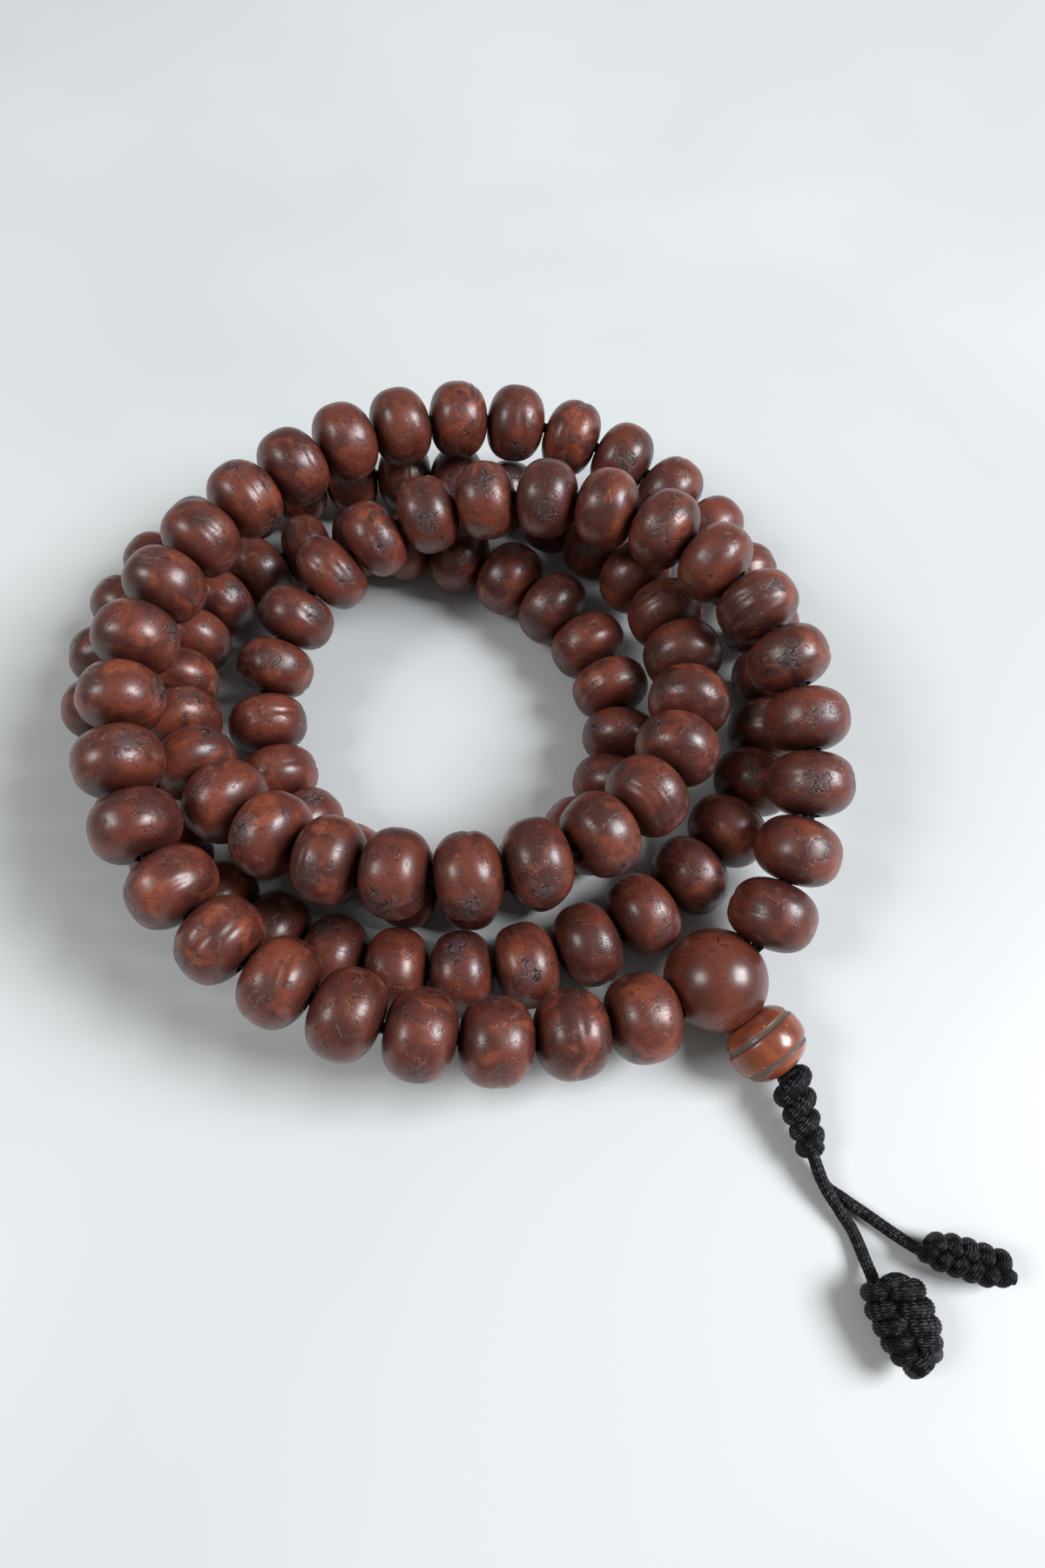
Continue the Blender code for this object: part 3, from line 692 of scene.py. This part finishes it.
def bead_outline(radius, half_length):
    """A closed outline (distance from the axis, height) of a barrel with a bore through it."""
    rim = BORE_RADIUS + 0.22 * MM
    turn = np.linspace(-1.0, 1.0, 181) * math.pi / 2
    z = half_length * np.sign(np.sin(turn)) * np.abs(np.sin(turn)) ** (2 / BARREL_POWER)
    r = radius * np.abs(np.cos(turn)) ** (2 / BARREL_POWER)
    keep = r > rim + 0.3 * MM
    r, z, _ = evenly(np.stack([r[keep], z[keep], 0 * z[keep]], axis=1), BEAD_ROW).T
    end = half_length * (1 - (rim / radius) ** BARREL_POWER) ** (1 / BARREL_POWER)
    mouth_r = [rim, BORE_RADIUS + 0.06 * MM, BORE_RADIUS]
    mouth_z = [end, end - 0.05 * MM, end - 0.25 * MM]
    r = np.concatenate([mouth_r[::-1], r, mouth_r])
    z = np.concatenate([[-value for value in mouth_z[::-1]], z, mouth_z])
    return r, z


def ripples(count, lowest, highest):
    """Random low waves over a bead: (turns round it, waves along it, phase, phase, share)."""
    return [(int(rng.integers(lowest, highest)), rng.uniform(0.2, 1.2), rng.uniform(0, math.tau),
             rng.uniform(0, math.tau), rng.uniform(0.4, 1.0)) for _ in range(count)]


def bead_points(radius, half_length):
    """The points of a slightly uneven bead with a few furrows round it, and how many rows they have."""
    r, z = bead_outline(radius, half_length)
    turn = (np.arange(BEAD_SIDES) / BEAD_SIDES * math.tau)[None, :]
    skin = np.clip((r - BORE_RADIUS - 0.3 * MM) / (1.5 * MM), 0, 1)[:, None]    # 0 at the bore
    height = (z / half_length)[:, None]
    bulge = 0.008 * rng.uniform(-1, 1) * np.cos(2 * turn + rng.uniform(0, math.tau))
    bulge = bulge + 0.022 * rng.uniform(-1, 1) * height
    for turns, waves, one, two, share in ripples(5, 1, 5):
        bulge = bulge + 0.0045 * share * np.sin(turns * turn + one) * np.sin(waves * 3 * height + two)
    depth = np.zeros_like(bulge + turn)
    for _ in range(int(rng.choice([0, 1, 2, 3]))):
        place, lean = rng.uniform(0, math.tau), rng.uniform(-0.22, 0.22)
        middle, span = rng.uniform(-0.45, 0.45), rng.uniform(0.4, 1.0)
        away = (turn - place + math.pi) % math.tau - math.pi
        width = rng.uniform(0.07, 0.12)
        for row in range(int(rng.integers(1, 4))):
            line = middle + lean * away + 0.22 * row + 0.03 * np.sin(5 * away + row)
            depth = depth + rng.uniform(0.3, 1.0) * np.exp(-((height - line) / width) ** 2) * np.exp(
                -((away - 0.15 * row) / span) ** 4)
    radius_here = r[:, None] * (1 + bulge * skin) - FURROW_DEPTH * depth * skin
    radius_here = np.minimum(radius_here, BEAD_RADIUS)
    end_tilt = 0.10 * MM * rng.uniform(-1, 1) * np.cos(turn + rng.uniform(0, math.tau))
    z_here = z[:, None] + end_tilt * np.abs(height) * (r[:, None] / radius)
    points = np.stack([radius_here * np.cos(turn), radius_here * np.sin(turn),
                       z_here + 0 * turn], axis=-1)
    return points.reshape(-1, 3), len(r)


def place_along(obj, centre, direction):
    """Put a piece at this centre, with its own z along this direction."""
    obj.rotation_mode = "QUATERNION"
    obj.rotation_quaternion = Vector(direction).to_track_quat("Z", "Y")
    obj.location = centre


def lift_off_floor(points, centre, direction):
    """A bead's own points, with any that would come below the floor moved up to it."""
    upwards = np.array(Vector(direction).to_track_quat("Z", "Y").to_matrix())[2]
    lack = np.maximum(0.0, FLOOR_GAP - centre[2] - points @ upwards)
    return points + lack[:, None] * upwards


def reach(cosine, half_length):
    """How far a bead reaches from its centre in a direction at this cosine to its axis."""
    cosine = np.clip(np.abs(cosine), 0.0, 1.0)
    sine = np.sqrt(1.0 - cosine ** 2)
    power = BARREL_POWER / (BARREL_POWER - 1.0)
    return ((BEAD_RADIUS * sine) ** power + (half_length * cosine) ** power) ** (1.0 / power)


def room_between(centres, axes, half_lengths):
    """The gap from each bead to the next one on the cord."""
    link = centres[1:] - centres[:-1]
    distance = np.linalg.norm(link, axis=1)
    link = link / distance[:, None]
    return (distance - reach((link * axes[:-1]).sum(1), half_lengths[:-1])
            - reach((link * axes[1:]).sum(1), half_lengths[1:]))


def lay_beads(middles, axes, half_pairs):
    """Bead centres, axes and half lengths: each pair is spread a little, and each bead leans
    towards its neighbours and is lengthened, until the beads nearly touch all along the cord."""
    half = np.repeat((half_pairs - GAP_IN_PAIR / 2) / 2, 2)
    side = np.tile([-1.0, 1.0], len(middles))
    pair_axes = np.repeat(axes, 2, axis=0)
    spread = half + GAP_IN_PAIR / 2
    centres = np.repeat(middles, 2, axis=0) + pair_axes * (side * spread)[:, None]
    ends = np.vstack([2 * centres[0] - centres[1], centres, 2 * centres[-1] - centres[-2]])
    wanted = unit(ends[2:] - ends[:-2])
    cosine = np.clip((wanted * pair_axes).sum(1), -1, 1)
    angle = np.arccos(cosine)
    aside = unit(wanted - pair_axes * cosine[:, None] + 1e-12)
    lean = np.minimum(angle, TILT)[:, None]
    bead_axes = unit(pair_axes * np.cos(lean) + aside * np.sin(lean))
    for _ in range(3):
        room = room_between(centres, bead_axes, half)
        inside, outside = room[0::2], np.append(room[1::2], room[1])
        before = np.append(outside[0], outside[:-1])
        shift = np.clip((np.stack([before, outside], 1) - inside[:, None]) / 4, 0, 0.4 * MM).ravel()
        centres = centres + pair_axes * (side * shift)[:, None]
        room = room_between(centres, bead_axes, half)
        nearest = np.minimum(np.append(room, room[-1]), np.append(room[0], room))
        half = np.clip(half + nearest / 2 - BEAD_CLEARANCE, 0.0, LONGEST_HALF_BEAD)
    return centres, bead_axes, half


bead_wood = bead_material()
joints = {joint["child"]: joint for joint in frame["joints"]}
pair_names = sorted(name for name in joints if name.startswith("bead_pair_"))
middles = np.array([joints[name]["pos_m"] for name in pair_names], float)
pair_axes = unit(np.array([joints[name]["axis"] for name in pair_names], float))
pair_points = [np.array([vertex.co for vertex in frame["nodes"][name].data.vertices])
               for name in pair_names]
half_pairs = np.array([np.abs((points - middle) @ axis).max()
                       for points, middle, axis in zip(pair_points, middles, pair_axes)])
bead_centres, bead_axes, bead_halves = lay_beads(middles, pair_axes, half_pairs)
loop_line = []
for number, (centre, axis, half_length) in enumerate(zip(bead_centres, bead_axes, bead_halves)):
    pair = pair_names[number // 2]
    mouth = axis * (half_length - 0.4 * MM)
    loop_line += [centre - mouth, centre + mouth]
    radius = BEAD_RADIUS * rng.uniform(0.965, 0.998)
    points, rows = bead_points(radius, half_length)
    points = lift_off_floor(points, centre, axis)
    faces = grid_faces(rows, BEAD_SIDES, closed=True)
    bead = add_mesh(f"{pair}_{'ab'[number % 2]}", points, faces, bead_wood)
    bead["seed"] = float(rng.uniform(0, 10))
    bead["tone"] = float(rng.uniform(0, 1))
    place_along(bead, centre, axis)
    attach(bead, pair)
    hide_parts(pair)


# ---- the guru bead and the stupa bead -----------------------------------------------------------

def sphere_points(radius, rows, around):
    lift = np.linspace(-1, 1, rows)[:, None] * math.pi / 2
    turn = np.arange(around)[None, :] / around * math.tau
    return np.stack([radius * np.cos(lift) * np.cos(turn), radius * np.cos(lift) * np.sin(turn),
                     radius * np.sin(lift) + 0 * turn], axis=-1).reshape(-1, 3)


def add_guru(holes):
    """A smooth ball with a round hole drilled in from each cord: (direction, radius) of each."""
    rows, around = 150, 240
    points = sphere_points(GURU_RADIUS, rows, around)
    for direction, bore in holes:
        outwards = unit(points)
        aside = np.linalg.norm(points - (points @ direction)[:, None] * direction, axis=1)
        near = points @ direction > 0
        share = np.clip((bore + HOLE_EDGE / 2 - aside) / HOLE_EDGE, 0, 1) * near
        share = share * share * (3 - 2 * share)
        points = points - outwards * (HOLE_DEPTH * share)[:, None]
    guru = add_mesh("guru_ball", points, grid_faces(rows, around), guru_material())
    guru["seed"] = 0.37
    guru.location = GURU_CENTRE
    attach(guru, "string")
    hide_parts("guru_bead")


sides = [unit(loop_line[0] - GURU_CENTRE), unit(loop_line[-1] - GURU_CENTRE)]
add_guru([(sides[0], BORE_RADIUS), (sides[1], BORE_RADIUS), (TAIL_DIRECTION, 1.8 * MM)])


def add_stupa():
    """A rounded drum with two shallow carved bands and a seat for the guru bead, bored through."""
    half, power, around = STUPA_HALF_LENGTH, 2.3, 96
    z = np.linspace(-0.995, 0.995, 130) * half
    share = np.abs(z / half)
    r = STUPA_RADIUS * (1 - share ** power) ** (1 / power)
    for centre, width in STUPA_BANDS:
        r = r - BAND_DEPTH / (1 + ((z / half - centre) / width) ** 8)
    keep = r > STUPA_BORE + 0.35 * MM
    r, z = r[keep], z[keep]
    lip_r, lip_z = STUPA_BORE + 0.1 * MM, z[-1] + 0.05 * MM
    r = np.concatenate([[STUPA_BORE, lip_r], r, [lip_r, STUPA_BORE]])
    z = np.concatenate([[-lip_z + 0.5 * MM, -lip_z], z, [lip_z, lip_z - 0.5 * MM]])
    seat = STUPA_CENTRE - np.sqrt((GURU_RADIUS + 0.08 * MM) ** 2 - np.minimum(r, GURU_RADIUS) ** 2)
    z = np.minimum(z, seat)
    turn = np.arange(around)[None, :] / around * math.tau
    wave = 1 + 0.006 * np.sin(2 * turn + 1.0) + 0.004 * np.sin(5 * turn + 3 * z[:, None] / half)
    points = np.stack([r[:, None] * wave * np.cos(turn), r[:, None] * wave * np.sin(turn),
                       z[:, None] + 0 * turn], axis=-1).reshape(-1, 3)
    faces = grid_faces(len(r), around, closed=True)
    stupa = add_mesh("stupa_drum", points, faces, stupa_material())
    stupa["seed"] = 0.81
    place_along(stupa, GURU_CENTRE + TAIL_DIRECTION * STUPA_CENTRE, -TAIL_DIRECTION)
    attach(stupa, "stupa_bead")
    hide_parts("stupa_bead")


add_stupa()


# ---- the cord through the beads -----------------------------------------------------------------

def loop_cord_line():
    """Out of the stupa bead, round all the beads, and back to the stupa bead."""
    outer, inner = (GURU_CENTRE + TAIL_DIRECTION * distance for distance in (STUPA_END, 2.4 * MM))
    ends = [[outer + sign * STRAND_SHIFT, inner + sign * STRAND_SHIFT,
             GURU_CENTRE + side * 2.1 * MM, GURU_CENTRE + side * (GURU_RADIUS - 0.3 * MM)]
            for sign, side in zip((1, -1), sides)]
    line = evenly(np.array([*ends[0], *loop_line, *reversed(ends[1])]), 0.22 * MM)
    for _ in range(2):
        line[1:-1] = (line[:-2] + 2 * line[1:-1] + line[2:]) / 4
    return line


loop = add_cord("loop_cord", [tube(loop_cord_line(), CORD_RADIUS, 16)], cord_black)
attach(loop, "string")
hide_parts("cord")


# ---- floor and light ----------------------------------------------------------------------------

floor_corners = [(x * FLOOR_HALF_WIDTH, y * FLOOR_HALF_WIDTH, 0)
                 for x, y in ((-1, -1), (1, -1), (1, 1), (-1, 1))]
floor_mesh = bpy.data.meshes.new("floor")
floor_mesh.from_pydata(floor_corners, [], [(0, 1, 2, 3)])
floor_mesh.materials.append(floor_material())
floor = bpy.data.objects.new("floor", floor_mesh)
bpy.context.scene.collection.objects.link(floor)


def add_light(name, direction, distance, size, power, colour):
    """A square soft light that shines on the beads from this direction."""
    data = bpy.data.lights.new(name, "AREA")
    data.shape = "SQUARE"
    data.size = size
    data.energy = power
    data.color = colour
    light = bpy.data.objects.new(name, data)
    towards = Vector(direction).normalized()
    light.location = towards * distance
    light.rotation_euler = towards.to_track_quat("Z", "Y").to_euler()
    bpy.context.scene.collection.objects.link(light)


add_light("window", direction=(0.73, -0.02, 0.68), distance=1.20, size=0.52, power=21.0,
          colour=(0.96, 0.99, 1.03))
add_light("far_window", direction=(-0.66, -0.10, 0.74), distance=1.40, size=0.46, power=8.2,
          colour=(0.98, 1.0, 1.0))

world = bpy.data.worlds.new("room")
world.use_nodes = True
background = world.node_tree.nodes["Background"]
background.inputs["Color"].default_value = rgb(1.0, 0.995, 0.95)
background.inputs["Strength"].default_value = 0.24
bpy.context.scene.world = world
bpy.context.scene.view_settings.view_transform = "Standard"
